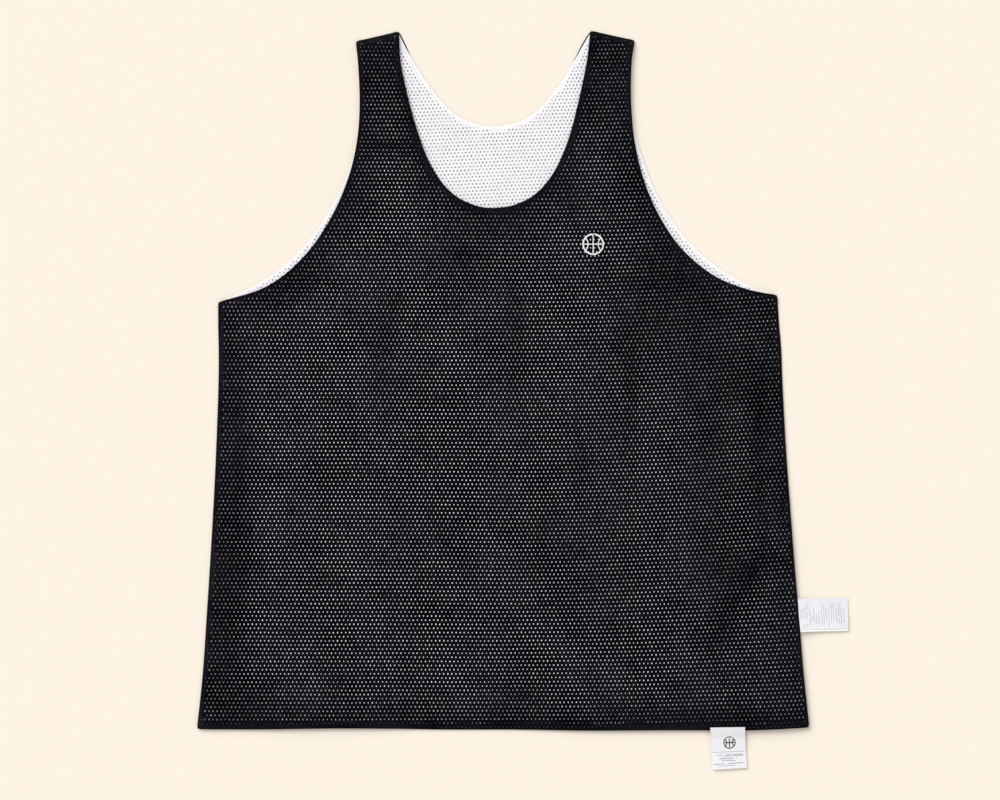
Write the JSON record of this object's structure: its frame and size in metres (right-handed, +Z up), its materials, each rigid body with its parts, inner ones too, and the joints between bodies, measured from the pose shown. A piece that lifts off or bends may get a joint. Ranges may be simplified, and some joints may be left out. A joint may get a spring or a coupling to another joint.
{
  "type": "reversible mesh basketball jersey laid flat",
  "caption": "Sleeveless reversible basketball jersey of black mesh over white mesh, laid flat with front over back, with a side care label and a hem tab.",
  "frame": {"origin": "on the resting plane under the black back panel, on the body's centre line, half-way between the hem and the shoulders", "axes": "+X across the body towards the side with the care label, +Y from the hem to the shoulders, +Z up through the layers to the black front"},
  "size_m": [0.7113, 0.8072, 0.0076],
  "materials": {
    "black_mesh": "black polyester warp-knit mesh with small round holes in staggered rows, soft satin",
    "white_mesh": "white polyester warp-knit mesh with small round holes in staggered rows, matt",
    "care_label_tape": "white satin care-label tape with plain grey printed rules",
    "hem_label_tape": null
  },
  "bodies": {
    "root": {"outer_back": "black_mesh", "inner_back": "white_mesh", "inner_front": "white_mesh", "outer_front": "black_mesh", "care_label": "care_label_tape", "hem_label": "hem_label_tape"}
  },
  "joints": []
}
